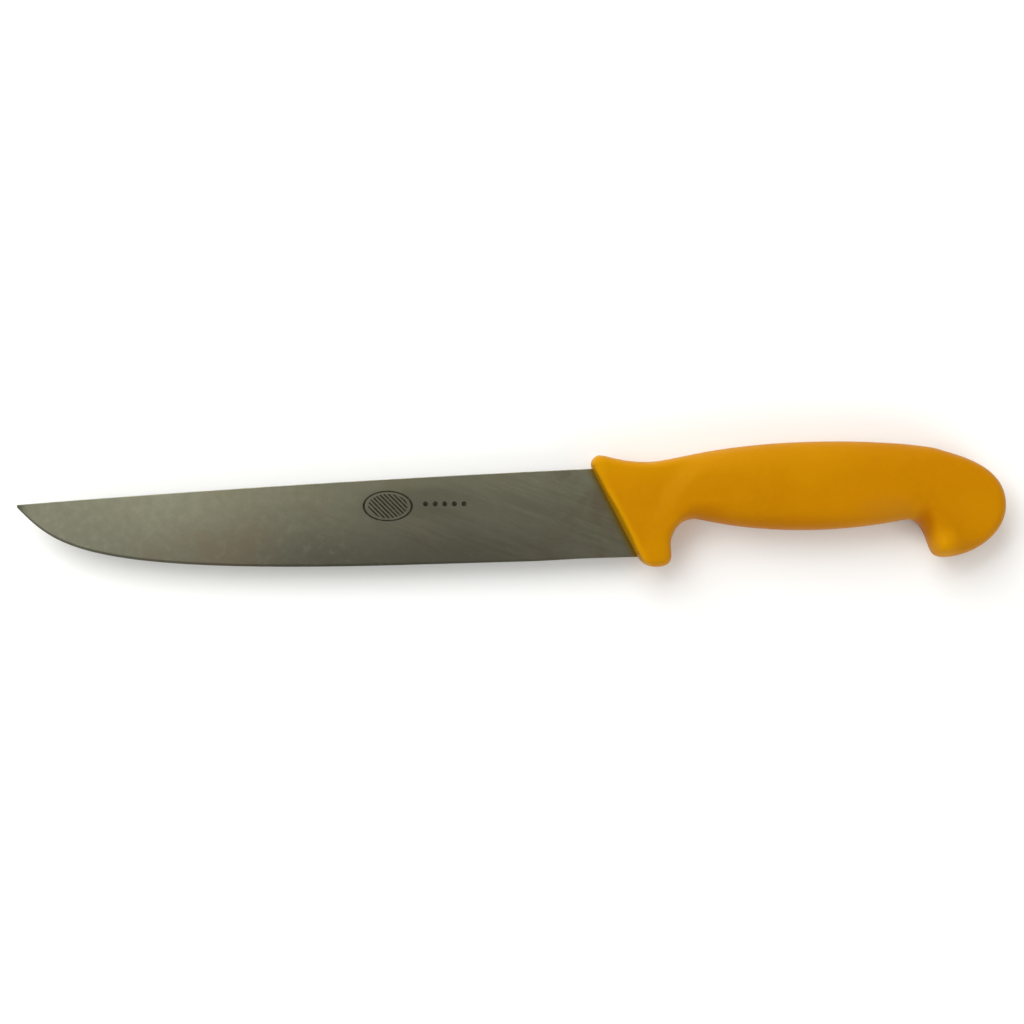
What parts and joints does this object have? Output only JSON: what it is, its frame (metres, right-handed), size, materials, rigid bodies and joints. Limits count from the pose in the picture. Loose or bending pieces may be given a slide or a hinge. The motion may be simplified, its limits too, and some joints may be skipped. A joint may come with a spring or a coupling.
{
  "type": "boning knife",
  "caption": "Butcher's boning knife with a broad straight steel blade, an upswept belly and a moulded handle with finger guard and beaked pommel.",
  "frame": {"origin": "middle of the knife's box in X and Y, on the surface that the handle's right side lies on", "axes": "+X from the tip to the butt along the grip, +Y from the cutting edge to the spine, +Z out of the left side"},
  "size_m": [0.36, 0.0458, 0.0208],
  "materials": {
    "blade_steel": "fine ground satin steel with light polishing scratches",
    "handle_plastic": "amber moulded plastic with a soft satin surface"
  },
  "bodies": {
    "root": {"blade": "blade_steel", "handle": "handle_plastic"}
  },
  "joints": []
}
